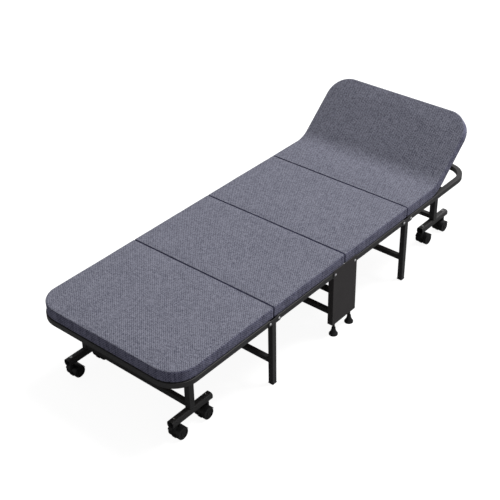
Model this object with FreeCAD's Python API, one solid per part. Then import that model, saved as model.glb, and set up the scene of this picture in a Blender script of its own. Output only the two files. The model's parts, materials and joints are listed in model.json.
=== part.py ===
import FreeCAD, Part
import math
import os
from FreeCAD import Vector

# Four-section folding cot with a raised backrest, a centre stand, two mid legs and two caster bases.
# Millimetres. +X runs to the head end, +Z is up, and the origin is on the floor in the middle of the
# cot's box. Every piece is worked out from the middle gap, where local x is 0, and moved when saved.
# The head half is built first, and the foot half is its mirror image.

# frame
frame_width = 700.0        # over the side rails
rail_bottom_z = 281.0
tube = 22.0                # square rails and legs
tube_wall = 1.5
tube_round = 2.0           # outside corners of every square tube
brace = 20.0               # square cross bars between the legs
brace_z = 97.0             # underside of the middle cross bars
section_length = 423.0     # middle gap to the mid-leg gap
foot_overhang = 129.6      # base pivot to the foot end of the frame
head_overhang = 121.6      # base pivot to the head end of the frame
corner_radius = 100.0      # outside of the bent end tubes
slat = 16.0                # square cross tubes under the boards
slat_inset = 22.5          # from a hinge pin to the nearest cross tube
slat_end_inset = 12.0      # from the free end of a board to the cross tube under it
board_thickness = 3.0
board_side_gap = 5.0

# pads
pad_thickness = 50.0
pad_inset = 1.0            # pad edge inside the rail's outer face
seat_gap = 0.3             # between a soft pad and what carries it
pad_joint = 0.6            # between two neighbouring pads
pad_corner = 12.0          # small plan corners at the gaps

# folding
folded_pad_gap = 1.0       # pad face to the middle plane when folded
leg_fold_gap = 2.5         # rail to mid leg when folded
end_lean = 9.0             # degrees that the end sections still lean out when folded
pin_radius = 4.0
running = 0.05             # radial clearance of every pin and axle
plate_gap = 0.3            # between a hinge plate and the rail beside it
plate_thickness = 2.5
head_radius = 5.2
head_height = 2.0
tail_radius = 5.0
tail_height = 1.5

# centre stand
panel_half = 74.0
panel_bottom_z = 58.0
panel_rim = 10.0           # panel's face above the rails' tops
panel_sheet = 2.0
panel_flange_gap = 1.0     # under the rails
panel_depth = 24.0
stand_bar_x = 56.0
foot_x = 51.0
foot_radius = 18.0
foot_bell = 30.0           # height of the flared part
foot_rim = 4.0
foot_neck = 3.0            # collar over the bell, round the stem
foot_flare = 0.45          # share of the foot's width at half the bell's height
foot_stem_radius = 5.0
nut_radius = 8.5
nut_height = 8.0
foot_travel = 12.0

# mid legs
cap_rim = 0.4              # cap's flange outside the leg
cap_floor = 4.0            # thickness of the flange under the leg
cap_height = 20.0          # top of the plug inside the leg
cap_round = 1.5

# caster bases
base_inset = 88.0          # rail's outer face to the uprights' centre line
end_pivot_drop = 10.0      # base pivot below the rail's centre line
hanger_tube_radius = 8.0   # cross tube of the hanger, and the stub that each upright turns on
hanger_reach = 62.0        # hanger's cross tube inboard of the base pivot
hanger_collar = 2.0        # collar that keeps an upright on its stub
upright_inset = 15.6       # upright inboard of the base pivot
upright_top_gap = 1.0      # upright below the eye
upright_tube = 25.0        # square uprights
eye_radius = 11.0
eye_plate = 3.0
eye_plate_drop = 50.0
floor_bar_width = 30.0
floor_bar_height = 28.0
floor_bar_top_z = 90.0
floor_bar_round = 10.0
base_brace_lift = 0.5      # base's cross bar above the floor bars
caster_pitch = 162.0       # between the two stems of a floor bar
floor_bar_overhang = 20.0

# casters
wheel_radius = 24.0
wheel_width = 19.0
wheel_round = 3.0
tread = 6.0                # rim left round the hub's recess
hub_radius = 9.0
hub_recess = 2.0
web = 14.0
web_gap = 0.5
web_bottom_z = 8.0
trail = 15.0
axle_radius = 2.5
hood_gap = 0.8
hood_wall = 1.6
hood_reach = 22.0          # degrees above the axle where the hood ends
boss_radius = 10.0
boss_end_gap = 1.0         # socket deeper than the stem
axle_end_inset = 1.0       # axle's ends inside the wheels' faces
stem_depth = 16.0
stem_head_radius = 5.6
stem_head_height = 2.0
stem_dimple = 2.6
stem_dimple_floor = 0.5

# backrest
backrest_angle = 41.0      # degrees, as it stands at rest
backrest_hinge_inset = 263.0  # backrest pivot to the head end of the frame
backrest_pivot_z = 297.0
backrest_tube = 12.0
backrest_tube_wall = 1.2
backrest_side_gap = 6.0    # between the backrest's tube and the rail
backrest_end_gap = 16.0
backrest_pad_start = 22.0
backrest_pad_end = 357.0
backrest_board_inset = 15.0
backrest_board_lead = 5.0  # board's hinge end inside the pad's
flat_pad_gap = 37.0        # flat part of the head pad to the backrest pivot
hinge_plate = 3.0
hinge_plate_inset = 2.0
hinge_pin_radius = 3.0
hinge_button = 2.0         # button's rim over the hinge pin

half = frame_width / 2
rail_inner = half - tube
rail_y = half - tube / 2
rail_top_z = rail_bottom_z + tube
pivot_z = rail_bottom_z + tube / 2
pad_bottom_z = rail_top_z + seat_gap
pad_top_z = pad_bottom_z + pad_thickness
pad_half = half - pad_inset
pad_end_corner = corner_radius - pad_inset
board_half = rail_inner - board_side_gap
board_bottom_z = rail_top_z - board_thickness
slat_bottom_z = board_bottom_z - slat
centre_pivot_x = pad_top_z - pivot_z + folded_pad_gap
mid_pivot_half = tube + leg_fold_gap
inner_pivot_x = section_length - mid_pivot_half
outer_pivot_x = section_length + mid_pivot_half
lean = math.radians(end_lean)
section_pivots = inner_pivot_x - centre_pivot_x
# the base pivot comes back to its own height when the cot is folded
end_arm = (section_pivots + end_pivot_drop * (1 - math.sin(lean))) / math.cos(lean)
end_pivot_x = outer_pivot_x + end_arm
head_length = end_pivot_x + head_overhang
foot_length = end_pivot_x + foot_overhang
end_pivot_z = pivot_z - end_pivot_drop
upright_x = end_pivot_x - upright_inset
hanger_x = end_pivot_x - hanger_reach
base_y = half - base_inset
floor_bar_bottom_z = floor_bar_top_z - floor_bar_height
base_brace_z = floor_bar_top_z + base_brace_lift
panel_inner = half + plate_gap
panel_outer = panel_inner + panel_sheet
foot_y = panel_inner - nut_radius - plate_gap
# the boards start where their ends never swing past the middle plane
board_start_x = centre_pivot_x - math.sqrt(
    (centre_pivot_x - folded_pad_gap) ** 2 - (rail_top_z - pivot_z) ** 2
)
backrest_turn = math.radians(backrest_angle)
backrest_pivot_x = head_length - backrest_hinge_inset
backrest_half = rail_inner - backrest_side_gap
backrest_bend = corner_radius - tube - backrest_side_gap
backrest_reach = backrest_hinge_inset - tube - backrest_end_gap
flat_pad_end = backrest_pivot_x - flat_pad_gap
pad_reach_x = (
    backrest_pivot_x
    + backrest_pad_end * math.cos(backrest_turn)
    - (pad_bottom_z + board_thickness + seat_gap - backrest_pivot_z) * math.sin(backrest_turn)
)
middle_x = (foot_length - max(head_length, pad_reach_x)) / 2


def block(x0, x1, y0, y1, z0, z1):
    return Part.makeBox(x1 - x0, y1 - y0, z1 - z0, Vector(x0, y0, z0))


def rod(radius, start, direction, length):
    return Part.makeCylinder(radius, length, Vector(*start), Vector(*direction))


def cross_pin(radius, x, z, y0, y1):
    """A round bar along Y between two distances from the middle."""
    return rod(radius, (x, y0, z), (0, 1, 0), y1 - y0)


def both_sides(shapes):
    """Each shape and its mirror image across the cot's long middle plane."""
    return shapes + [s.mirror(Vector(0, 0, 0), Vector(0, 1, 0)) for s in shapes]


def foot_half(shapes):
    return [s.mirror(Vector(0, 0, 0), Vector(1, 0, 0)) for s in shapes]


def save(node, shapes):
    placed = [s.copy() for s in shapes]
    for shape in placed:
        shape.translate(Vector(middle_x, 0, 0))
    whole = placed[0] if len(placed) == 1 else Part.makeCompound(placed)
    whole.exportStep(os.path.join("parts", node + ".step"))


def long_edges(body, along):
    """The edges of a straight bar that run along one axis."""
    lengths = [(e, (e.BoundBox.XLength, e.BoundBox.YLength, e.BoundBox.ZLength)) for e in body.Edges]
    return [e for e, size in lengths if size[along] > 0.01 and sum(size) - size[along] < 0.01]


def box_tube(x0, x1, y0, y1, z0, z1, along, wall):
    """A square tube with rounded corners between two points, open at both ends along one axis."""
    ends = [[x0, x1], [y0, y1], [z0, z1]]
    bore = [list(pair) for pair in ends]
    for axis in range(3):
        step = -1.0 if axis == along else wall
        bore[axis] = [ends[axis][0] + step, ends[axis][1] - step]
    outside = block(*ends[0], *ends[1], *ends[2])
    outside = outside.makeFillet(tube_round, long_edges(outside, along))
    return outside.cut(block(*bore[0], *bore[1], *bore[2]))


def upright_edges(body, x):
    """The vertical edges of a plate that lie at one x."""
    boxes = [(e, e.BoundBox) for e in body.Edges]
    return [e for e, b in boxes if b.XLength < 0.01 and b.YLength < 0.01 and abs(b.XMin - x) < 0.01]


def rounded_plan(x0, x1, half_width, inner_round, outer_round, z0, z1):
    """A plate with one radius at its x0 corners and another at its x1 corners."""
    body = block(x0, x1, -half_width, half_width, z0, z1)
    for x, radius in ((x0, inner_round), (x1, outer_round)):
        if radius > 0:
            body = body.makeFillet(radius, upright_edges(body, x))
    return body


def end_round(x, toward, z, width):
    """What a tool takes off to round a rail's end about its hinge pin at x."""
    reach = tube
    x0, x1 = (x, x + reach) if toward > 0 else (x - reach, x)
    corner = block(x0, x1, -width, width, z - tube, z + tube)
    return corner.cut(cross_pin(tube / 2, x, z, -width, width))


def pin_hole(x, z, radius):
    return cross_pin(radius, x, z, -2 * half, 2 * half)


def u_plan(x0, x1, half_width, radius, z0, z1):
    """The outline of a U, open at x0 and rounded at x1, as a solid plate."""
    return rounded_plan(x0, x1, half_width, 0, radius, z0, z1)


def flat_edges(body, open_x):
    """The level edges of a U-shaped bar, apart from those at its two open ends."""
    boxes = [(e, e.BoundBox) for e in body.Edges]
    return [e for e, b in boxes if b.ZLength < 0.01 and b.XMax > open_x + 0.01]


def u_tube(x0, x1, half_width, size, wall, radius, z0):
    """A square tube bent into a U that opens at x0."""
    z1 = z0 + size
    outside = u_plan(x0, x1, half_width, radius, z0, z1)
    outside = outside.cut(u_plan(x0 - 1, x1 - size, half_width - size, radius - size, z0, z1))
    outside = outside.makeFillet(tube_round, flat_edges(outside, x0))
    bore = u_plan(x0 - 1, x1 - wall, half_width - wall, radius - wall, z0 + wall, z1 - wall)
    inner = size - wall
    bore = bore.cut(u_plan(x0 - 2, x1 - inner, half_width - inner, radius - inner, z0, z1))
    return outside.cut(bore)


def section_rails():
    """The two straight rails of an inner section, rounded about both hinge pins."""
    end = tube / 2
    rail = box_tube(
        centre_pivot_x - end, inner_pivot_x + end, rail_inner, half, rail_bottom_z, rail_top_z, 0, tube_wall
    )
    rail = rail.cut(end_round(centre_pivot_x, -1, pivot_z, half + tube))
    rail = rail.cut(end_round(inner_pivot_x, 1, pivot_z, half + tube))
    for x in (centre_pivot_x, inner_pivot_x):
        rail = rail.cut(pin_hole(x, pivot_z, pin_radius + running))
    return both_sides([rail])


def slats(places):
    """Square cross tubes between the rails, under the board."""
    return [
        box_tube(
            x - slat / 2, x + slat / 2, -rail_inner, rail_inner, slat_bottom_z, board_bottom_z, 1, tube_wall
        )
        for x in places
    ]


def end_frame(length):
    """The bent tube of an end section, hinged near the mid legs."""
    frame = u_tube(outer_pivot_x - tube / 2, length, half, tube, tube_wall, corner_radius, rail_bottom_z)
    frame = frame.cut(end_round(outer_pivot_x, -1, pivot_z, half + tube))
    return frame.cut(pin_hole(outer_pivot_x, pivot_z, pin_radius + running))


def rounded_link(x0, x1, z, radius, y0, y1):
    """A flat bar with round ends about two axes."""
    link = block(x0, x1, y0, y1, z - radius, z + radius)
    for x in (x0, x1):
        link = link.fuse(cross_pin(radius, x, z, y0, y1))
    return link.removeSplitter()


def hangers():
    """The cross tube and the two bars, each with a stub and collar, that a caster base hangs on."""
    z = end_pivot_z
    outside = cross_pin(hanger_tube_radius, hanger_x, z, -rail_inner, rail_inner)
    cross_tube = outside.cut(pin_hole(hanger_x, z, hanger_tube_radius - tube_wall))
    eye_inner = base_y - upright_tube / 2 - eye_plate
    bar_inner = base_y + upright_tube / 2 + eye_plate + plate_gap
    bar = rounded_link(hanger_x, end_pivot_x, z, eye_radius, bar_inner, bar_inner + eye_plate)
    bar = bar.cut(pin_hole(hanger_x, z, hanger_tube_radius))
    collar_outer = eye_inner - plate_gap
    collar_inner = collar_outer - hanger_collar
    stub = cross_pin(hanger_tube_radius, end_pivot_x, z, collar_inner, bar_inner)
    collar = cross_pin(eye_radius, end_pivot_x, z, collar_inner, collar_outer)
    return [cross_tube] + both_sides([bar.fuse([stub, collar]).removeSplitter()])


def board(x0, x1, end_corner):
    return rounded_plan(x0, x1, board_half, 0, end_corner, board_bottom_z, rail_top_z)


def pad(x0, x1, inner_round, outer_round):
    return rounded_plan(x0, x1, pad_half, inner_round, outer_round, pad_bottom_z, pad_top_z)


def headed_pin(x, z, seat, tail):
    """A rivet across a hinge: its domed head outside at seat, its formed tail inside at tail."""
    shank = cross_pin(pin_radius, x, z, tail, seat)
    dome = head_radius
    bulge = (dome * dome + head_height * head_height) / (2 * head_height)
    ball = Part.makeSphere(bulge, Vector(x, seat + head_height - bulge, z))
    head = ball.common(cross_pin(2 * dome, x, z, seat, seat + dome))
    foot = cross_pin(tail_radius, x, z, tail - tail_height, tail)
    return shank.fuse([head, foot]).removeSplitter()


def centre_panel():
    """One folded sheet side of the stand: face, two edge flanges and a floor with weld nuts."""
    inside = panel_outer - panel_depth
    flange_top = rail_bottom_z - panel_flange_gap
    face_top = rail_top_z + panel_rim
    face = block(-panel_half, panel_half, panel_inner, panel_outer, panel_bottom_z, face_top)
    shell = block(-panel_half, panel_half, inside, panel_outer, panel_bottom_z, flange_top)
    hollow = block(
        panel_sheet - panel_half,
        panel_half - panel_sheet,
        inside - 1,
        panel_inner,
        panel_bottom_z + panel_sheet,
        flange_top + 1,
    )
    panel = face.fuse(shell.cut(hollow))
    floor_z = panel_bottom_z + panel_sheet
    for x in (-foot_x, foot_x):
        panel = panel.fuse(hexagon(x, foot_y, nut_radius, floor_z, nut_height))
        panel = panel.cut(
            rod(foot_stem_radius + running, (x, foot_y, 0), (0, 0, 1), floor_z + nut_height + 1)
        )
    for x in (-centre_pivot_x, centre_pivot_x):
        panel = panel.cut(pin_hole(x, pivot_z, pin_radius + running))
    return panel.removeSplitter()


def hexagon(x, y, radius, z, height):
    points = []
    for corner in range(7):
        turn = math.radians(60 * corner)
        points.append(Vector(x + radius * math.cos(turn), y + radius * math.sin(turn), z))
    return Part.Face(Part.makePolygon(points)).extrude(Vector(0, 0, height))


def levelling_foot(x, y):
    """A bell-shaped foot on a threaded stem, turned about its own axis."""
    neck = foot_stem_radius + foot_neck
    collar_z = foot_bell + foot_neck
    stem_top = panel_bottom_z + panel_sheet + nut_height + foot_travel + foot_neck

    def at(radius, z):
        return Vector(x + radius, y, z)

    flare = Part.Arc(
        at(foot_radius, foot_rim), at((foot_radius + neck) * foot_flare, foot_bell / 2), at(neck, foot_bell)
    )
    corners = [at(neck, foot_bell), at(neck, collar_z), at(foot_stem_radius, collar_z)]
    corners += [at(foot_stem_radius, stem_top), at(0, stem_top), at(0, 0), at(foot_radius, 0)]
    corners += [at(foot_radius, foot_rim)]
    wire = Part.Wire([flare.toShape()] + Part.makePolygon(corners).Edges)
    return Part.Face(wire).revolve(Vector(x, y, 0), Vector(0, 0, 1), 360)


def mid_leg_frame():
    """Two square legs and the cross bar that joins them."""
    side = tube / 2
    leg_top = pivot_z + side - leg_fold_gap
    leg = box_tube(
        section_length - side, section_length + side, rail_inner, half, cap_floor, leg_top, 2, tube_wall
    )
    bar = box_tube(
        section_length - brace / 2,
        section_length + brace / 2,
        -rail_inner,
        rail_inner,
        brace_z,
        brace_z + brace,
        1,
        tube_wall,
    )
    return both_sides([leg]) + [bar]


def hinge_link(y0, y1):
    """A flat link with round ends about the two hinge pins above a mid leg."""
    link = rounded_link(inner_pivot_x, outer_pivot_x, pivot_z, tube / 2, y0, y1)
    for x in (inner_pivot_x, outer_pivot_x):
        link = link.cut(pin_hole(x, pivot_z, pin_radius + running))
    return link


def leg_cap():
    """A plastic plug in the foot of a leg, with a thin flange that the leg stands on."""
    x = section_length
    side = tube / 2 + cap_rim
    flange = block(x - side, x + side, rail_y - side, rail_y + side, 0, cap_floor)
    rims = [e for e in flange.Edges if e.BoundBox.ZLength < 0.01 and e.BoundBox.ZMin < 0.01]
    flange = flange.makeFillet(cap_round, rims)
    inside = tube / 2 - tube_wall - running
    plug = block(x - inside, x + inside, rail_y - inside, rail_y + inside, cap_floor, cap_height)
    return flange.fuse(plug).removeSplitter()


def eye_plate_at(y0, y1):
    """The plate on an upright, with the round eye that turns on the hanger's stub."""
    back = upright_x - upright_tube / 2
    low = end_pivot_z - eye_plate_drop
    front = upright_x + upright_tube / 2
    points = [
        Vector(back, y0, low),
        Vector(front, y0, low),
        Vector(end_pivot_x + eye_radius, y0, end_pivot_z - eye_radius),
        Vector(end_pivot_x + eye_radius, y0, end_pivot_z),
        Vector(end_pivot_x, y0, end_pivot_z),
        Vector(back, y0, end_pivot_z - eye_radius),
        Vector(back, y0, low),
    ]
    plate = Part.Face(Part.makePolygon(points)).extrude(Vector(0, y1 - y0, 0))
    plate = plate.fuse(cross_pin(eye_radius, end_pivot_x, end_pivot_z, y0, y1))
    return plate.removeSplitter().cut(pin_hole(end_pivot_x, end_pivot_z, hanger_tube_radius + running))


def base_frame():
    """Uprights with their eye plates, and the cross bar between them."""
    side = upright_tube / 2
    inner = base_y - side
    outer = base_y + side
    upright_top = end_pivot_z - eye_radius - upright_top_gap
    upright = box_tube(
        upright_x - side, upright_x + side, inner, outer, floor_bar_top_z, upright_top, 2, tube_wall
    )
    plates = [eye_plate_at(outer, outer + eye_plate), eye_plate_at(inner - eye_plate, inner)]
    bar = box_tube(
        upright_x - brace / 2,
        upright_x + brace / 2,
        -inner,
        inner,
        base_brace_z,
        base_brace_z + brace,
        1,
        tube_wall,
    )
    return both_sides([upright] + plates) + [bar]


def floor_bars():
    """The two short tubes along the floor that carry the casters."""
    reach = caster_pitch / 2 + floor_bar_overhang
    side = floor_bar_width / 2

    def along(grow, longer):
        bar = block(
            upright_x - reach - longer,
            upright_x + reach + longer,
            base_y - side + grow,
            base_y + side - grow,
            floor_bar_bottom_z + grow,
            floor_bar_top_z - grow,
        )
        return bar.makeFillet(floor_bar_round - grow, [e for e in bar.Edges if e.BoundBox.XLength > reach])

    bar = along(0, 0).cut(along(tube_wall, 1))
    for x in stem_places():
        bar = bar.cut(rod(pin_radius + running, (x, base_y, 0), (0, 0, 1), floor_bar_top_z + 1))
    return both_sides([bar])


def stem_places():
    return (upright_x - caster_pitch / 2, upright_x + caster_pitch / 2)


def caster_stems():
    """Steel stems riveted through the floor bars, with a dimpled head on top."""
    low = floor_bar_bottom_z - stem_depth
    stems = []
    for x in stem_places():
        stem = rod(pin_radius, (x, base_y, low), (0, 0, 1), floor_bar_top_z - low)
        head = rod(stem_head_radius, (x, base_y, floor_bar_top_z), (0, 0, 1), stem_head_height)
        dimple_z = floor_bar_top_z + stem_dimple_floor
        dimple = rod(stem_dimple, (x, base_y, dimple_z), (0, 0, 1), stem_head_height)
        stems.append(stem.fuse(head).cut(dimple).removeSplitter())
    return both_sides(stems)


def caster_hood(x, y, side):
    """The swivel body: web between the wheels, half-round hood over them, boss, and the axle."""
    axle_x = x + side * trail
    top = floor_bar_bottom_z - seat_gap
    inner = wheel_radius + hood_gap
    outer = inner + hood_wall
    cover_half = web / 2 + web_gap + wheel_width
    cover = cross_pin(outer, axle_x, wheel_radius, y - cover_half, y + cover_half)
    cover = cover.cut(cross_pin(inner, axle_x, wheel_radius, y - cover_half, y + cover_half))
    cut_z = wheel_radius + inner * math.sin(math.radians(hood_reach))
    below = block(axle_x - outer, axle_x + outer, y - cover_half, y + cover_half, -outer, cut_z)
    cover = cover.cut(below)
    middle = cross_pin(outer, axle_x, wheel_radius, y - web / 2, y + web / 2)
    middle = middle.cut(block(axle_x - outer, axle_x + outer, y - web, y + web, -outer, web_bottom_z))
    boss = rod(boss_radius, (x, y, wheel_radius + inner), (0, 0, 1), top - wheel_radius - inner)
    skirt = rod(boss_radius, (x, y, cut_z), (0, 0, 1), wheel_radius + inner - cut_z)
    skirt = skirt.cut(cross_pin(inner, axle_x, wheel_radius, y - cover_half, y + cover_half))
    body = cover.fuse([middle, boss, skirt]).removeSplitter()
    depth = stem_depth + boss_end_gap
    body = body.cut(rod(pin_radius + running, (x, y, floor_bar_bottom_z - depth), (0, 0, 1), depth + 1))
    body = body.cut(cross_pin(axle_radius, axle_x, wheel_radius, y - cover_half, y + cover_half))
    reach = cover_half - axle_end_inset
    axle = cross_pin(axle_radius, axle_x, wheel_radius, y - reach, y + reach)
    return [body, axle]


def caster_wheels(x, y, side):
    """The two wheels of one caster, each turning on the axle."""
    axle_x = x + side * trail
    near = web / 2 + web_gap
    wheels = []
    for hand in (-1, 1):
        y0 = y + near if hand > 0 else y - near - wheel_width
        wheel = cross_pin(wheel_radius, axle_x, wheel_radius, y0, y0 + wheel_width)
        wheel = wheel.makeFillet(wheel_round, [e for e in wheel.Edges if e.BoundBox.XLength > wheel_radius])
        face = y0 + wheel_width - hub_recess if hand > 0 else y0
        ring = cross_pin(wheel_radius - tread, axle_x, wheel_radius, face, face + hub_recess)
        ring = ring.cut(cross_pin(hub_radius, axle_x, wheel_radius, face, face + hub_recess))
        wheel = wheel.cut(ring)
        bore = cross_pin(axle_radius + running, axle_x, wheel_radius, y0 - 1, y0 + wheel_width + 1)
        wheels.append(wheel.cut(bore))
    return wheels


def raise_backrest(shape):
    turned = shape.copy()
    turned.rotate(Vector(backrest_pivot_x, 0, backrest_pivot_z), Vector(0, -1, 0), backrest_angle)
    return turned


def backrest_frame():
    """The light bent tube that carries the raised part of the head pad."""
    low = backrest_pivot_z - backrest_tube / 2
    frame = u_tube(
        backrest_pivot_x - backrest_tube / 2,
        backrest_pivot_x + backrest_reach,
        backrest_half,
        backrest_tube,
        backrest_tube_wall,
        backrest_bend,
        low,
    )
    end = block(
        backrest_pivot_x - backrest_tube,
        backrest_pivot_x,
        -half,
        half,
        low - 1,
        low + backrest_tube + 1,
    )
    end = end.cut(cross_pin(backrest_tube / 2, backrest_pivot_x, backrest_pivot_z, -half, half))
    frame = frame.cut(end).cut(pin_hole(backrest_pivot_x, backrest_pivot_z, hinge_pin_radius + running))
    return [raise_backrest(frame)]


def backrest_board():
    x0 = backrest_pivot_x + backrest_pad_start + backrest_board_lead
    x1 = backrest_pivot_x + backrest_pad_end - backrest_board_inset
    z0 = pad_bottom_z
    half_width = pad_half - backrest_board_inset
    corner = pad_end_corner - backrest_board_inset
    sheet = rounded_plan(x0, x1, half_width, 0, corner, z0, z0 + board_thickness)
    return [raise_backrest(sheet)]


def backrest_pad():
    x0 = backrest_pivot_x + backrest_pad_start
    x1 = backrest_pivot_x + backrest_pad_end
    z0 = pad_bottom_z + board_thickness + seat_gap
    cushion = rounded_plan(x0, x1, pad_half, 0, pad_end_corner, z0, pad_top_z)
    return [raise_backrest(cushion)]


def pad_bend():
    """The stretch of the head pad that bends between its flat and its raised part."""
    cos_a = math.cos(backrest_turn)
    sin_a = math.sin(backrest_turn)

    def raised(along, up):
        x = backrest_pivot_x + along * cos_a - up * sin_a
        return x, backrest_pivot_z + along * sin_a + up * cos_a

    top = pad_top_z - backrest_pivot_z
    low = pad_bottom_z + board_thickness + seat_gap - backrest_pivot_z
    start = backrest_pad_start - seat_gap
    crease = backrest_pivot_x - top * math.tan(backrest_turn / 2)
    outline = [
        (flat_pad_end, pad_bottom_z),
        (backrest_pivot_x - backrest_tube / 2, pad_bottom_z),
        raised(start, low),
        raised(start, top),
        (crease, pad_top_z),
        (flat_pad_end, pad_top_z),
    ]
    points = [Vector(x, -pad_half, z) for x, z in outline + outline[:1]]
    return [Part.Face(Part.makePolygon(points)).extrude(Vector(0, 2 * pad_half, 0))]


def backrest_hinges():
    """A plate with a welded pin inside each head rail."""
    outer = rail_inner
    inner = outer - hinge_plate
    length = 3 * tube
    plate = block(
        backrest_pivot_x - length / 2,
        backrest_pivot_x + length / 2,
        inner,
        outer,
        rail_bottom_z + hinge_plate_inset,
        rail_top_z - hinge_plate_inset,
    )
    tail = backrest_half - backrest_tube - tail_height
    pin = cross_pin(hinge_pin_radius, backrest_pivot_x, backrest_pivot_z, tail, inner)
    rim = hinge_pin_radius + hinge_button
    button = cross_pin(rim, backrest_pivot_x, backrest_pivot_z, tail, tail + tail_height - seat_gap)
    return both_sides([plate.fuse([pin, button]).removeSplitter()])


os.makedirs("parts", exist_ok=True)

# centre stand
save("centre_panels", both_sides([centre_panel()]))
stand_bar = box_tube(
    stand_bar_x - brace / 2,
    stand_bar_x + brace / 2,
    -panel_inner,
    panel_inner,
    brace_z,
    brace_z + brace,
    1,
    tube_wall,
)
save("centre_cross_bars", [stand_bar] + foot_half([stand_bar]))
centre_pin = headed_pin(centre_pivot_x, pivot_z, panel_outer, rail_inner - plate_gap)
save("centre_rivets", both_sides([centre_pin] + foot_half([centre_pin])))
feet = [(-foot_x, -foot_y), (foot_x, -foot_y), (-foot_x, foot_y), (foot_x, foot_y)]
for number, (x, y) in enumerate(feet, 1):
    save(f"levelling_foot_{number}", [levelling_foot(x, y)])

# inner sections: section_3 towards the head, section_2 towards the foot
inner_pieces = {
    "rails": section_rails(),
    "cross_tubes": slats(
        (centre_pivot_x + slat_inset, (centre_pivot_x + inner_pivot_x) / 2, inner_pivot_x - slat_inset)
    ),
    "board": [board(board_start_x, section_length - pad_joint, 0)],
    "pad": [pad(centre_pivot_x, section_length - pad_joint / 2, 0, pad_corner)],
    "pad_inner_end": [pad(pad_joint / 2, centre_pivot_x, pad_corner, 0)],
}
for name, shapes in inner_pieces.items():
    save("section_3_" + name, shapes)
    save("section_2_" + name, foot_half(shapes))

# end sections: section_4 at the head, section_1 at the foot
end_slats = slats((outer_pivot_x + slat_inset, flat_pad_end - slat_end_inset))
board_corner = corner_radius - tube - board_side_gap
save("section_4_frame_tube", [end_frame(head_length)])
save("section_4_cross_tubes", end_slats + hangers())
save("section_4_board", [board(section_length + pad_joint, flat_pad_end, 0)])
save("section_4_pad_flat", [pad(section_length + pad_joint / 2, flat_pad_end, pad_corner, 0)])
save("section_4_pad_bend", pad_bend())
save("section_1_frame_tube", foot_half([end_frame(foot_length)]))
save("section_1_cross_tubes", foot_half(end_slats + hangers()))
foot_board_end = foot_length - tube - board_side_gap
save("section_1_board", foot_half([board(section_length + pad_joint, foot_board_end, board_corner)]))
foot_pad_end = foot_length - pad_inset
save(
    "section_1_pad",
    foot_half([pad(section_length + pad_joint / 2, foot_pad_end, pad_corner, pad_end_corner)]),
)

# backrest
save("backrest_hinge_plates", backrest_hinges())
save("backrest_frame", backrest_frame())
save("backrest_board", backrest_board())
save("backrest_pad", backrest_pad())

# mid legs: head_mid and foot_mid
plate_outer = half + plate_gap
plate_inner = rail_inner - plate_gap
seat = plate_outer + plate_thickness
tail = plate_inner - plate_thickness
links = both_sides([hinge_link(plate_outer, seat), hinge_link(tail, plate_inner)])
leg_pins = both_sides([headed_pin(x, pivot_z, seat, tail) for x in (inner_pivot_x, outer_pivot_x)])
mid_pieces = {
    "leg_frame": mid_leg_frame(),
    "hinge_links": links,
    "hinge_rivets": leg_pins,
    "leg_caps": both_sides([leg_cap()]),
}
for name, shapes in mid_pieces.items():
    save("head_mid_" + name, shapes)
    save("foot_mid_" + name, foot_half(shapes))

# caster bases and their casters
base_pieces = {"frame": base_frame(), "floor_bars": floor_bars(), "caster_stems": caster_stems()}
for name, shapes in base_pieces.items():
    save("head_base_" + name, shapes)
    save("foot_base_" + name, foot_half(shapes))
inner_stem, outer_stem = stem_places()
places = {"inner_near": (inner_stem, -1), "inner_far": (inner_stem, 1), "outer_near": (outer_stem, -1)}
places["outer_far"] = (outer_stem, 1)
for name, (x, hand) in places.items():
    side = 1 if x == inner_stem else -1
    hood = caster_hood(x, hand * base_y, side)
    wheels = caster_wheels(x, hand * base_y, side)
    save(f"head_{name}_caster_hood", hood)
    save(f"head_{name}_caster_wheels", wheels)
    save(f"foot_{name}_caster_hood", foot_half(hood))
    save(f"foot_{name}_caster_wheels", foot_half(wheels))
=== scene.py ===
import json
import math
import bpy
import bmesh
from mathutils import Matrix, Vector, noise


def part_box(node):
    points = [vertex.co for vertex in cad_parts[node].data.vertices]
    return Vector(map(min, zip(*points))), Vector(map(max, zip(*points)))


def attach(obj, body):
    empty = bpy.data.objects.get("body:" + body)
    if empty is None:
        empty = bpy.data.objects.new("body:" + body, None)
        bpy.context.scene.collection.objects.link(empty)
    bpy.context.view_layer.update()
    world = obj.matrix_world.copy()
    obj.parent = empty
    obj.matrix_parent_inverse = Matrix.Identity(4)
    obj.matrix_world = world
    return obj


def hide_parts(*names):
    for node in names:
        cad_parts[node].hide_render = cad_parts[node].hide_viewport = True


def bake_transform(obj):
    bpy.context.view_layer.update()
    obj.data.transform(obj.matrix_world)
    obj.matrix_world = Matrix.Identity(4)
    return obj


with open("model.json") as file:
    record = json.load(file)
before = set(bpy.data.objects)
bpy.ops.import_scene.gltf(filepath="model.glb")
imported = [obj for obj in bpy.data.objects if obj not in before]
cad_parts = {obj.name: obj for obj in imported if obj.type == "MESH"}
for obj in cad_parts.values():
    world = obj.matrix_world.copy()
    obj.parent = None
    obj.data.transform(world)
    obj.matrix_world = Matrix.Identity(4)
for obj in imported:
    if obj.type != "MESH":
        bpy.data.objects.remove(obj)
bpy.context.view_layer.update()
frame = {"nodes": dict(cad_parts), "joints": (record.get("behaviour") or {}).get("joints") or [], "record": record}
print("frame loaded:", len(frame["nodes"]), "nodes")

scene = bpy.context.scene
joints = {joint["name"]: joint for joint in frame["joints"]}


def newPiece(name, bm, smooth=True):
    # turns a finished bmesh into an object at the origin
    bmesh.ops.recalc_face_normals(bm, faces=bm.faces)
    mesh = bpy.data.meshes.new(name)
    bm.to_mesh(mesh)
    bm.free()
    piece = bpy.data.objects.new(name, mesh)
    scene.collection.objects.link(piece)
    if smooth:
        mesh.shade_smooth()
    return piece


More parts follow.
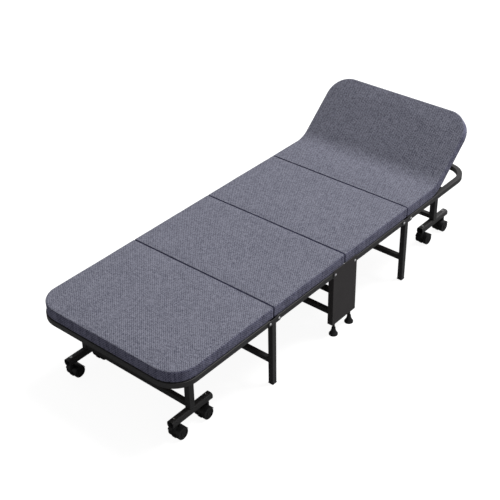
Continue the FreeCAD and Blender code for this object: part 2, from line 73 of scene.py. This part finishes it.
def applyModifiers(piece):
    # replaces the mesh with what its modifiers make of it
    depsgraph = bpy.context.evaluated_depsgraph_get()
    made = bpy.data.meshes.new_from_object(piece.evaluated_get(depsgraph))
    old = piece.data
    piece.modifiers.clear()
    piece.data = made
    made.name = piece.name
    bpy.data.meshes.remove(old)
    piece.data.shade_smooth()


def setMaterial(piece, material):
    piece.data.materials.clear()
    piece.data.materials.append(material)


def newGroup(name, inputs, outputs):
    group = bpy.data.node_groups.new(name, "ShaderNodeTree")
    for label, kind, value in inputs:
        socket = group.interface.new_socket(name=label, in_out="INPUT", socket_type=kind)
        if value is not None:
            socket.default_value = value
    for label, kind in outputs:
        group.interface.new_socket(name=label, in_out="OUTPUT", socket_type=kind)
    nodes = group.nodes
    return group, nodes.new("NodeGroupInput"), nodes.new("NodeGroupOutput")


class Wiring:
    # short ways to add and join the nodes of one tree
    def __init__(self, tree):
        self.tree = tree

    def link(self, source, target):
        self.tree.links.new(source, target)

    def set(self, node, socket, value):
        if isinstance(value, bpy.types.NodeSocket):
            self.link(value, node.inputs[socket])
        elif value is not None:
            node.inputs[socket].default_value = value

    def math(self, operation, a, b=None):
        node = self.tree.nodes.new("ShaderNodeMath")
        node.operation = operation
        self.set(node, 0, a)
        self.set(node, 1, b)
        return node.outputs[0]

    def scaled(self, vector, factors):
        node = self.tree.nodes.new("ShaderNodeVectorMath")
        node.operation = "MULTIPLY"
        self.set(node, 0, vector)
        self.set(node, 1, factors)
        return node.outputs[0]

    def noise(self, vector, scale, detail=2.0, roughness=0.5):
        node = self.tree.nodes.new("ShaderNodeTexNoise")
        self.set(node, "Vector", vector)
        self.set(node, "Scale", scale)
        self.set(node, "Detail", detail)
        self.set(node, "Roughness", roughness)
        return node.outputs[0]

    def ramp(self, value, low, high, toLow=0.0, toHigh=1.0):
        node = self.tree.nodes.new("ShaderNodeMapRange")
        self.set(node, "Value", value)
        for place, number in enumerate((low, high, toLow, toHigh), 1):
            self.set(node, place, number)
        return node.outputs[0]

    def mixColor(self, factor, a, b, blend="MIX"):
        node = self.tree.nodes.new("ShaderNodeMix")
        node.data_type = "RGBA"
        node.blend_type = blend
        self.set(node, 0, factor)
        self.set(node, 6, a)
        self.set(node, 7, b)
        return node.outputs[2]

    def group(self, tree, **values):
        node = self.tree.nodes.new("ShaderNodeGroup")
        node.node_tree = tree
        for label, value in values.items():
            self.set(node, label.replace("_", " "), value)
        return node.outputs


weaveLook = {
    "wanderScale": 55.0,      # how often the threads leave their straight way, per metre
    "wander": 0.005,          # how far they leave it
    "overlap": 0.25,          # softness of the change from warp to weft
    "slubSeed": 3.7,
    "slubRange": (0.42, 0.58),
    "driftScale": 7.0,
    "drift": 0.05,
    "slubTone": 0.45,
    "overTone": 0.40,
    "weaveTone": 0.15,
    "slubHeight": 0.8,
}


def linenWeaveGroup():
    # plain weave with thick and thin yarn: two sets of threads, slubs along each, and a slow drift of tone
    look = weaveLook
    group, start, end = newGroup(
        "linenWeave",
        [
            ("Place", "NodeSocketVector", None),
            ("Thread", "NodeSocketFloat", 0.0026),
            ("Slub Length", "NodeSocketFloat", 0.045),
            ("Slub Width", "NodeSocketFloat", 0.004),
            ("Drift", "NodeSocketFloat", look["drift"]),
        ],
        [("Tone", "NodeSocketFloat"), ("Height", "NodeSocketFloat")],
    )
    w = Wiring(group)
    place = start.outputs["Place"]
    parts = group.nodes.new("ShaderNodeSeparateXYZ")
    wander = group.nodes.new("ShaderNodeTexNoise")
    w.link(place, wander.inputs["Vector"])
    wander.inputs["Scale"].default_value = look["wanderScale"]
    shifted = group.nodes.new("ShaderNodeVectorMath")
    shifted.operation = "MULTIPLY_ADD"
    w.link(wander.outputs["Color"], shifted.inputs[0])
    for axis in range(3):
        shifted.inputs[1].default_value[axis] = look["wander"]
    w.link(place, shifted.inputs[2])
    w.link(shifted.outputs[0], parts.inputs[0])
    perThread = w.math("DIVIDE", math.pi, start.outputs["Thread"])
    warp = w.math("SINE", w.math("MULTIPLY", parts.outputs[0], perThread))
    weft = w.math("SINE", w.math("MULTIPLY", parts.outputs[1], perThread))
    warpRise = w.math("ABSOLUTE", warp)
    weftRise = w.math("ABSOLUTE", weft)
    over = w.ramp(w.math("MULTIPLY", warp, weft), -look["overlap"], look["overlap"])
    weave = w.math("ADD", w.math("MULTIPLY", warpRise, over),
                   w.math("MULTIPLY", weftRise, w.math("SUBTRACT", 1.0, over)))
    slubs = []
    for along, across in ((0, 1), (1, 0)):
        lengthScale = w.math("DIVIDE", 1.0, start.outputs["Slub Length"])
        widthScale = w.math("DIVIDE", 1.0, start.outputs["Slub Width"])
        join = group.nodes.new("ShaderNodeCombineXYZ")
        w.link(w.math("MULTIPLY", parts.outputs[along], lengthScale), join.inputs[along])
        w.link(w.math("MULTIPLY", parts.outputs[across], widthScale), join.inputs[across])
        join.inputs[2].default_value = look["slubSeed"] * (along + 1)
        slubs.append(w.ramp(w.noise(join.outputs[0], 1.0, 1.0, 0.6), *look["slubRange"]))
    slub = w.math("MULTIPLY", w.math("ADD", slubs[0], slubs[1]), 0.5)
    drift = w.ramp(w.noise(place, look["driftScale"], 3.0, 0.55), 0.3, 0.7, -0.5, 0.5)
    tone = w.math("MULTIPLY", slub, look["slubTone"])
    tone = w.math("ADD", tone, w.math("MULTIPLY", over, look["overTone"]))
    tone = w.math("ADD", tone, w.math("MULTIPLY", weave, look["weaveTone"]))
    tone = w.math("ADD", tone, w.math("MULTIPLY", drift, start.outputs["Drift"]))
    w.link(tone, end.inputs["Tone"])
    w.link(w.math("ADD", weave, w.math("MULTIPLY", slub, look["slubHeight"])), end.inputs["Height"])
    return group


def fineGrainGroup():
    # speckle of a powder coat or a moulded skin, with slow patches of gloss
    group, start, end = newGroup(
        "fineGrain",
        [
            ("Place", "NodeSocketVector", None),
            ("Grain", "NodeSocketFloat", 900.0),
            ("Patch", "NodeSocketFloat", 9.0),
        ],
        [("Height", "NodeSocketFloat"), ("Patch", "NodeSocketFloat"), ("Speckle", "NodeSocketFloat")],
    )
    w = Wiring(group)
    grain = w.noise(start.outputs["Place"], start.outputs["Grain"], 2.0, 0.6)
    patch = w.ramp(w.noise(start.outputs["Place"], start.outputs["Patch"], 4.0, 0.6), 0.3, 0.7)
    w.link(grain, end.inputs["Height"])
    w.link(patch, end.inputs["Patch"])
    w.link(w.ramp(grain, 0.4, 0.65), end.inputs["Speckle"])
    return group


linenWeave = linenWeaveGroup()
fineGrain = fineGrainGroup()


def newMaterial(name):
    material = bpy.data.materials.new(name)
    material.use_nodes = True
    tree = material.node_tree
    shader = tree.nodes["Principled BSDF"]
    return material, Wiring(tree), shader


def bump(w, shader, height, distance):
    node = w.tree.nodes.new("ShaderNodeBump")
    node.inputs["Strength"].default_value = 1.0
    node.inputs["Distance"].default_value = distance
    w.link(height, node.inputs["Height"])
    w.link(node.outputs[0], shader.inputs["Normal"])


def objectPlace(w):
    return w.tree.nodes.new("ShaderNodeTexCoord").outputs["Object"]


fabricLook = {
    "darkYarn": (0.064, 0.066, 0.100, 1.0),
    "lightYarn": (0.285, 0.288, 0.352, 1.0),
    # the sides' colour: a bluer yarn, with red and green a little lower as painted shade on the side faces
    "sideShadeTint": (0.98, 0.97, 1.16, 1.0),
    "thread": 0.0048,
    "slubLength": 0.014,
    "slubWidth": 0.0026,
    "roughness": 0.92,
    "sheen": 0.12,
    "sheenRoughness": 0.5,
    "specular": 0.15,
    "toneRange": (0.15, 0.85),
    "bumpDepth": 0.0009,
    "gatherScale": (160.0, 9.0, 1.0),   # upright streaks of painted light and shade from the folds on the border strip, per metre
    "gatherShade": 0.35,
}


def fabricMaterial():
    material, w, shader = newMaterial("padLinen")
    uv = w.tree.nodes.new("ShaderNodeUVMap")
    uv.uv_map = "cloth"
    look = fabricLook
    outs = w.group(linenWeave, Place=uv.outputs[0], Thread=look["thread"],
                   Slub_Length=look["slubLength"], Slub_Width=look["slubWidth"])
    border = w.tree.nodes.new("ShaderNodeUVMap")
    border.uv_map = "border"
    parts = w.tree.nodes.new("ShaderNodeSeparateXYZ")
    w.link(border.outputs[0], parts.inputs[0])
    # painted light and shade of the side gathers: upright streaks, lighter and darker, on the border strip only
    gathers = w.noise(w.scaled(uv.outputs[0], look["gatherScale"]), 1.0, 2.0, 0.6)
    upright = w.ramp(gathers, 0.35, 0.65, -0.5, 0.5)
    paintedFoldShade = w.math("MULTIPLY", w.math("MULTIPLY", upright, look["gatherShade"]), parts.outputs[0])
    tone = w.ramp(w.math("ADD", outs["Tone"], paintedFoldShade), *look["toneRange"])
    color = w.mixColor(tone, look["darkYarn"], look["lightYarn"])
    # the border strip is tinted bluer and painted a little darker, as shade on the sides
    color = w.mixColor(parts.outputs[0], color, look["sideShadeTint"], "MULTIPLY")
    w.link(color, shader.inputs["Base Color"])
    shader.inputs["Roughness"].default_value = look["roughness"]
    shader.inputs["Sheen Weight"].default_value = look["sheen"]
    shader.inputs["Sheen Roughness"].default_value = look["sheenRoughness"]
    shader.inputs["Specular IOR Level"].default_value = look["specular"]
    bump(w, shader, outs["Height"], look["bumpDepth"])
    return material


def grainyMaterial(name, look):
    # painted and moulded parts: one colour broken by speckle, patches of gloss and a fine bump
    material, w, shader = newMaterial(name)
    outs = w.group(fineGrain, Place=objectPlace(w), Grain=look["grain"], Patch=look["patch"])
    light = tuple(c * look["speckle"] for c in look["color"][:3]) + (1.0,)
    color = w.mixColor(outs["Speckle"], look["color"], light)
    w.link(color, shader.inputs["Base Color"])
    low, high = look["roughness"]
    w.link(w.ramp(outs["Patch"], 0.0, 1.0, low, high), shader.inputs["Roughness"])
    shader.inputs["Specular IOR Level"].default_value = look["specular"]
    if look.get("metallic"):
        shader.inputs["Metallic"].default_value = look["metallic"]
    bump(w, shader, outs["Height"], look["bumpDepth"])
    return material


looks = {
    "frame_paint": {"color": (0.037, 0.0362, 0.0375, 1), "speckle": 1.5, "grain": 700.0, "patch": 6.0,
                    "roughness": (0.42, 0.58), "specular": 0.4, "bumpDepth": 0.0003},
    "panel_paint": {"color": (0.043, 0.039, 0.040, 1), "speckle": 1.35, "grain": 700.0, "patch": 6.0,
                    "roughness": (0.5, 0.62), "specular": 0.4, "bumpDepth": 0.0003},
    "black_plastic": {"color": (0.012, 0.012, 0.013, 1), "speckle": 1.3, "grain": 1100.0, "patch": 14.0,
                      "roughness": (0.36, 0.5), "specular": 0.45, "bumpDepth": 0.0002},
    "wheel_plastic": {"color": (0.015, 0.015, 0.016, 1), "speckle": 1.6, "grain": 900.0, "patch": 22.0,
                      "roughness": (0.45, 0.7), "specular": 0.4, "bumpDepth": 0.0002},
    "bright_steel": {"color": (0.72, 0.72, 0.73, 1), "speckle": 0.85, "grain": 600.0, "patch": 60.0,
                     "roughness": (0.22, 0.42), "specular": 0.5, "metallic": 1.0, "bumpDepth": 0.0001},
    "zinc_rivets": {"color": (0.92, 0.92, 0.94, 1), "speckle": 0.95, "grain": 600.0, "patch": 60.0,
                    "roughness": (0.45, 0.6), "specular": 0.8, "metallic": 0.4, "bumpDepth": 0.0001},
}


boardLook = {
    "grainScale": (3.0, 90.0, 90.0),
    "poreScale": (14.0, 900.0, 900.0),
    "darkGrain": (0.20, 0.125, 0.066, 1),
    "lightGrain": (0.34, 0.235, 0.135, 1),
    "poreColor": (0.1, 0.06, 0.03, 1),
    "poreShade": 0.35,
    "roughness": 0.6,
    "bumpDepth": 0.0002,
}


def boardMaterial():
    # thin plywood: long grain and pores
    look = boardLook
    material, w, shader = newMaterial("boardPly")
    place = objectPlace(w)
    grain = w.noise(w.scaled(place, look["grainScale"]), 1.0, 5.0, 0.6)
    pores = w.noise(w.scaled(place, look["poreScale"]), 1.0, 2.0, 0.5)
    color = w.mixColor(w.ramp(grain, 0.3, 0.7), look["darkGrain"], look["lightGrain"])
    color = w.mixColor(w.ramp(pores, 0.55, 0.7, 0.0, look["poreShade"]), color, look["poreColor"])
    w.link(color, shader.inputs["Base Color"])
    shader.inputs["Roughness"].default_value = look["roughness"]
    bump(w, shader, w.math("ADD", grain, pores), look["bumpDepth"])
    return material


materials = {slot: grainyMaterial(slot, look) for slot, look in looks.items()}
materials["pad_fabric"] = fabricMaterial()
materials["board"] = boardMaterial()

slotOf = {entry["node"]: entry["material_slot"] for entry in frame["record"]["subparts"]}
for name, node in frame["nodes"].items():
    setMaterial(node, materials["zinc_rivets" if name.endswith("rivets") else slotOf[name]])
print("materials placed on the frame's nodes")


padLook = {
    "shrink": 0.002,        # the block starts this much inside its place, then swells
    "sideRound": 0.013,     # top edges along the sides and the free end
    "gapRound": 0.010,      # edges that meet a neighbour
    "bottomRound": 0.008,
    "voxel": 0.0045,
    "seam": 0.009,          # height of the band at the bottom that is held down
    "pressure": 4.0,
    "frames": 20,
    "swell": 0.007,         # how far a point may move
    "sideBulge": 0.002,     # how far the sides may stand out over the rails
    "topBulge": 0.004,
    "straight": 0.075,      # distance from the middle gap within which the sides don't stand out
    "fade": 0.05,
    "clear": 0.0030,        # kept inside the place at a gap
    "gapCorner": 0.006,
    "gapHold": 0.012,       # from a gap face, within which the cover is held
    "endCorner": 0.099,
    "gather": 0.0006,       # depth of the small upright folds on the sides
    "gatherCorner": 0.0013,  # the same round the large corners
    "gatherLength": 0.017,  # from one fold to the next
    "slowRipple": 0.0009,   # height of the wide waves on top, and of the short ones
    "fineRipple": 0.0004,
}

clothLook = {
    "quality": 4,
    "mass": 0.3,
    "tension": 12,
    "compression": 12,
    "bending": 0.6,
}


def edgesWhere(bm, test):
    return [e for e in bm.edges if all(test(v.co) for v in e.verts)]


def roundEdges(bm, edges, offset, segments):
    bmesh.ops.bevel(bm, geom=edges, offset=offset, offset_type="OFFSET", segments=segments,
                    profile=0.5, affect="EDGES", material=-1, clamp_overlap=True)


def padBlock(name, low, high, roundEnd):
    # a foam block with rounded edges; roundEnd is the sign of the end with large corners, or 0;
    # it keeps its full depth at the bottom, where it lies on its board
    look = padLook
    inside = Vector((0.0, look["shrink"], look["shrink"]))
    high = high - inside
    low = low + inside - Vector((0, 0, look["shrink"]))
    if roundEnd > 0:
        high.x -= look["shrink"]
    if roundEnd < 0:
        low.x += look["shrink"]
    bm = bmesh.new()
    bmesh.ops.create_cube(bm, size=1.0)
    bmesh.ops.scale(bm, vec=high - low, verts=bm.verts)
    bmesh.ops.translate(bm, vec=(high + low) / 2, verts=bm.verts)
    tiny = 1e-5
    for x, sign in ((low.x, -1), (high.x, 1)):
        corner = look["endCorner"] if sign == roundEnd else look["gapCorner"]
        upright = edgesWhere(bm, lambda c: abs(c.x - x) < tiny)
        upright = [e for e in upright if abs(e.verts[0].co.z - e.verts[1].co.z) > tiny]
        roundEdges(bm, upright, corner - look["shrink"], 18 if sign == roundEnd else 4)
    gaps = [x for x, sign in ((low.x, -1), (high.x, 1)) if sign != roundEnd]

    def notGap(edge):
        return not any(all(abs(v.co.x - x) < tiny for v in edge.verts) for x in gaps)

    top = [e for e in edgesWhere(bm, lambda c: abs(c.z - high.z) < tiny) if notGap(e)]
    roundEdges(bm, top, look["sideRound"], 5)
    bottom = [e for e in edgesWhere(bm, lambda c: abs(c.z - low.z) < tiny) if notGap(e)]
    roundEdges(bm, bottom, look["bottomRound"], 3)
    for x in gaps:
        rim = edgesWhere(bm, lambda c: abs(c.x - x) < tiny)
        roundEdges(bm, rim, look["gapRound"], 4)
    piece = newPiece(name, bm)
    remesh = piece.modifiers.new("remesh", "REMESH")
    remesh.mode = "VOXEL"
    remesh.voxel_size = look["voxel"]
    applyModifiers(piece)
    return piece


def holdSeams(piece, low, high, roundEnd):
    # the cover is held along its rims, at its gap faces and underneath
    look = padLook
    gaps = [x for x, sign in ((low.x, -1), (high.x, 1)) if sign != roundEnd]
    held = []
    for vertex in piece.data.vertices:
        c, n = vertex.co, vertex.normal
        rim = 0.2 < abs(n.z) < 0.97
        if rim or c.z < low.z + look["seam"] or any(abs(c.x - x) < look["gapHold"] for x in gaps):
            held.append(vertex.index)
    piece.vertex_groups.new(name="seams").add(held, 1.0, "REPLACE")


def swell(piece, low, high, roundEnd):
    # cloth under pressure fills the cover; no point moves further than the look allows
    look = padLook
    holdSeams(piece, low, high, roundEnd)
    before = [v.co.copy() for v in piece.data.vertices]
    cloth = piece.modifiers.new("cloth", "CLOTH")
    settings = cloth.settings
    settings.vertex_group_mass = "seams"
    settings.quality = clothLook["quality"]
    settings.mass = clothLook["mass"]
    settings.tension_stiffness = clothLook["tension"]
    settings.compression_stiffness = clothLook["compression"]
    settings.bending_stiffness = clothLook["bending"]
    settings.use_pressure = True
    settings.uniform_pressure_force = look["pressure"]
    settings.effector_weights.gravity = 0
    cloth.point_cache.frame_start = 1
    cloth.point_cache.frame_end = look["frames"]
    for step in range(1, look["frames"] + 1):
        scene.frame_set(step)
    depsgraph = bpy.context.evaluated_depsgraph_get()
    after = [v.co.copy() for v in piece.evaluated_get(depsgraph).data.vertices]
    piece.modifiers.clear()
    scene.frame_set(1)
    moves = [b - a for a, b in zip(before, after)]
    for vertex, start, move in zip(piece.data.vertices, before, moves):
        if move.length > look["swell"]:
            move = move.normalized() * look["swell"]
        vertex.co = start + move


def settle(piece, low, high, roundEnd):
    # keeps the swollen pad in its place: flat underneath, short of its neighbours, and straight-sided
    # where it swings down between the stand's panels
    look = padLook
    clear = look["clear"]
    ends = {sign: look["sideBulge"] if sign == roundEnd else -clear for sign in (-1, 1)}
    top = look["topBulge"] if roundEnd else 0.0
    for vertex in piece.data.vertices:
        c = vertex.co
        side = look["sideBulge"] * min(max((abs(c.x) - look["straight"]) / look["fade"], 0.0), 1.0)
        c.x = min(max(c.x, low.x - ends[-1]), high.x + ends[1])
        c.y = min(max(c.y, low.y - side), high.y + side)
        c.z = min(max(c.z, low.z + clear), high.z + top)


def roundPad(c, low, high, roundEnd):
    # how far a point is round the pad's edge, and how much it belongs to a large corner
    look = padLook
    flip = -1 if roundEnd > 0 else 1
    end = high.x if roundEnd > 0 else low.x
    radius = look["endCorner"] if roundEnd else look["gapCorner"]
    inward = flip * (c.x - end)                 # distance in from the end
    across = abs(c.y) - (high.y - radius)       # past the corner's centre, sideways
    side = 1.0 if c.y >= 0 else -1.0
    straight = high.y - radius
    if inward < radius and across > 0:
        turned = math.atan2(across, radius - inward)
        corner = math.sin(2 * turned) if roundEnd else 0.0
        return side * (straight + radius * turned), corner
    if inward < radius:
        return c.y, 0.0
    return side * (straight + radius * math.pi / 2 + inward - radius), 0.0


def ripple(piece, low, high, roundEnd):
    # slow undulations of the cover on top, and upright gathers on the sides, deepest at large corners
    look = padLook
    tall = high.z - low.z
    gaps = [x for x, sign in ((low.x, -1), (high.x, 1)) if sign != roundEnd]
    normals = [v.normal.copy() for v in piece.data.vertices]
    for vertex, n in zip(piece.data.vertices, normals):
        c = vertex.co
        if n.z > 0.7:
            slow = noise.noise(Vector((c.x * 6.0, c.y * 6.0, 4.2)))
            fine = noise.noise(Vector((c.x * 19.0, c.y * 23.0, 9.1)))
            c.z += look["slowRipple"] * slow + look["fineRipple"] * fine
            continue
        if any(abs(c.x - x) < look["gapHold"] for x in gaps) or n.z < -0.7:
            continue
        around, corner = roundPad(c, low, high, roundEnd)
        rise = (c.z - low.z) / tall
        fold = noise.noise(Vector((around / look["gatherLength"], rise * 0.7, 2.6)))
        depth = look["gather"] + (look["gatherCorner"] - look["gather"]) * corner
        flat = Vector((n.x, n.y, 0)).normalized()
        vertex.co = c - flat * depth * (0.5 + 0.5 * fold) * math.sin(math.pi * min(max(rise, 0.0), 1.0))


def clothMap(piece, low, high, roundEnd):
    # lays the weave on the pad while it is still flat: top and bottom by x and y, sides by the way round;
    # the second layer tells the border strip from the top, and masks where the painted fold shade and the sides'
    # painted shade go
    mesh = piece.data
    layer = mesh.uv_layers.new(name="cloth")
    border = mesh.uv_layers.new(name="border")
    for face in mesh.polygons:
        upright = 1.0 - abs(face.normal.z)
        for corner in face.loop_indices:
            c = mesh.vertices[mesh.loops[corner].vertex_index].co
            if upright > 0.4:
                layer.data[corner].uv = (roundPad(c, low, high, roundEnd)[0], c.z + 0.5)
            else:
                layer.data[corner].uv = (c.x, c.y)
            border.data[corner].uv = (min(max((upright - 0.25) / 0.5, 0.0), 1.0), 0.0)


def makePad(name, low, high, roundEnd):
    piece = padBlock(name, low, high, roundEnd)
    swell(piece, low, high, roundEnd)
    settle(piece, low, high, roundEnd)
    ripple(piece, low, high, roundEnd)
    clothMap(piece, low, high, roundEnd)
    setMaterial(piece, materials["pad_fabric"])
    print("pad made:", name, len(piece.data.vertices), "points")
    return piece


def commonBox(nodes):
    boxes = [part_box(n) for n in nodes]
    low = Vector([min(b[0][k] for b in boxes) for k in range(3)])
    high = Vector([max(b[1][k] for b in boxes) for k in range(3)])
    return low, high


padSpecs = {
    "footPad": {
        "body": "section_1", "roundEnd": -1,
        "nodes": ["section_1_pad"],
    },
    "footMiddlePad": {
        "body": "section_2", "roundEnd": 0,
        "nodes": ["section_2_pad", "section_2_pad_inner_end"],
    },
    "headMiddlePad": {
        "body": "section_3", "roundEnd": 0,
        "nodes": ["section_3_pad", "section_3_pad_inner_end"],
    },
}
for name, spec in padSpecs.items():
    low, high = commonBox(spec["nodes"])
    pad = makePad(name, low, high, spec["roundEnd"])
    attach(pad, spec["body"])
    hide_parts(*spec["nodes"])


headPadLook = {
    "topBendRadius": 0.11,    # of the hollow where the pad turns up
    "endInset": 0.003,        # the cover's round end inside its place
    "thinning": 0.03,         # past the bend, within which the pad comes down to the raised part's thickness
}


def makeHeadPad():
    tilt = joints["backrest_tilt"]
    pivot = Vector(tilt["pos_m"])
    angle = -math.radians(tilt["range_deg"][0])     # how far it stands up at rest
    flatLow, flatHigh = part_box("section_4_pad_flat")
    top = flatHigh.z
    turn = Matrix.Rotation(angle, 3, "Y")           # brings the raised part back level
    ends = [turn @ (v.co - pivot) for v in frame["nodes"]["backrest_pad"].data.vertices]
    reach = max(p.x for p in ends) - headPadLook["endInset"]
    thickness = max(p.z for p in ends) - min(p.z for p in ends)
    radius = headPadLook["topBendRadius"]
    crease = pivot.x - (top - pivot.z) * math.tan(angle / 2)
    bendStart = crease - radius * math.tan(angle / 2)
    # length along the top: flat part, the arc, then the straight raised part
    straight = reach - (pivot.x - crease) - radius * math.tan(angle / 2)
    length = (bendStart - flatLow.x) + radius * angle + straight
    low = Vector(flatLow)
    high = Vector((flatLow.x + length, flatHigh.y, top))
    piece = makePad("headPad", low, high, 1)
    centre = Vector((bendStart, 0, top + radius))
    arc = radius * angle
    for vertex in piece.data.vertices:
        c = vertex.co
        past = c.x - bendStart
        if past <= 0:
            continue
        depth = top - c.z
        lift = min(max(past / (arc + headPadLook["thinning"]), 0.0), 1.0)
        depth *= 1 - (1 - thickness / (top - flatLow.z)) * lift
        turned = min(past, arc) / radius
        out = radius + depth
        x = centre.x + out * math.sin(turned)
        z = centre.z - out * math.cos(turned)
        rest = max(past - arc, 0.0)
        vertex.co = (x + rest * math.cos(angle), c.y, z + rest * math.sin(angle))
    piece.data.update()
    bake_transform(piece)
    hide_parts("section_4_pad_flat", "section_4_pad_bend", "backrest_pad")


makeHeadPad()
print("pads done")


stageLook = {
    "floorSize": 14.0,
    "floorDrop": 0.0005,      # keeps the floor clear of the feet's undersides
    "floorColor": 0.27,       # diffuse share of the floor, which also sets how much light it throws back
    "floorGlow": 0.93,        # seen by the camera only, so that the shadows stay faint
    "ambient": 0.27,
    "mirrored": 0.30,         # what glossy surfaces see of the world
}


def makeFloor():
    look = stageLook
    bm = bmesh.new()
    bmesh.ops.create_grid(bm, x_segments=1, y_segments=1, size=look["floorSize"] / 2)
    bmesh.ops.translate(bm, vec=(0, 0, -look["floorDrop"]), verts=bm.verts)
    floor = newPiece("studioFloor", bm, smooth=False)
    material = bpy.data.materials.new("floorWhite")
    material.use_nodes = True
    tree = material.node_tree
    tree.nodes.clear()
    w = Wiring(tree)
    path = tree.nodes.new("ShaderNodeLightPath")
    diffuse = tree.nodes.new("ShaderNodeBsdfDiffuse")
    diffuse.inputs["Color"].default_value = (look["floorColor"],) * 3 + (1,)
    glow = tree.nodes.new("ShaderNodeEmission")
    w.link(w.math("MULTIPLY", path.outputs["Is Camera Ray"], look["floorGlow"]), glow.inputs["Strength"])
    both = tree.nodes.new("ShaderNodeAddShader")
    w.link(diffuse.outputs[0], both.inputs[0])
    w.link(glow.outputs[0], both.inputs[1])
    out = tree.nodes.new("ShaderNodeOutputMaterial")
    w.link(both.outputs[0], out.inputs[0])
    setMaterial(floor, material)


def makeWorld():
    look = stageLook
    world = bpy.data.worlds.new("studio")
    scene.world = world
    world.use_nodes = True
    tree = world.node_tree
    tree.nodes.clear()
    w = Wiring(tree)
    path = tree.nodes.new("ShaderNodeLightPath")
    back = tree.nodes.new("ShaderNodeBackground")
    mirrored = w.ramp(path.outputs["Is Glossy Ray"], 0.0, 1.0, look["ambient"], look["mirrored"])
    w.link(w.math("MAXIMUM", mirrored, path.outputs["Is Camera Ray"]), back.inputs["Strength"])
    out = tree.nodes.new("ShaderNodeOutputWorld")
    w.link(back.outputs[0], out.inputs[0])


def areaLight(name, place, aim, size, power):
    light = bpy.data.lights.new(name, "AREA")
    light.shape = "RECTANGLE"
    light.size, light.size_y = size
    light.energy = power
    lamp = bpy.data.objects.new(name, light)
    scene.collection.objects.link(lamp)
    direction = Vector(aim) - Vector(place)
    lamp.rotation_euler = direction.to_track_quat("-Z", "Y").to_euler()
    lamp.location = place


lights = {
    "key": {"place": (5.4, -2.2, 10.4), "aim": (0.0, 0.0, 0.3), "size": (6.0, 6.0), "power": 1480.0},
}
makeFloor()
makeWorld()
for name, spec in lights.items():
    areaLight(name, spec["place"], spec["aim"], spec["size"], spec["power"])

cameraLook = {
    "place": (-2.7702, -2.2774, 2.6408),
    "yaw": math.radians(49.136),      # from +Y towards +X
    "pitch": math.radians(33.938),    # below level
    "roll": math.radians(-1.276),
    "lens": 78.15,
    "sensor": 36.0,
    "farClip": 50.0,
}
camera = bpy.data.cameras.new("studioCamera")
camera.lens = cameraLook["lens"]
camera.sensor_width = cameraLook["sensor"]
camera.clip_end = cameraLook["farClip"]
cameraObject = bpy.data.objects.new("studioCamera", camera)
scene.collection.objects.link(cameraObject)
aim = Matrix.Rotation(-cameraLook["yaw"], 4, "Z") @ Matrix.Rotation(math.pi / 2 - cameraLook["pitch"], 4, "X")
aim = aim @ Matrix.Rotation(cameraLook["roll"], 4, "Z")
cameraObject.matrix_world = Matrix.Translation(cameraLook["place"]) @ aim
scene.camera = cameraObject
scene.view_settings.view_transform = "Standard"
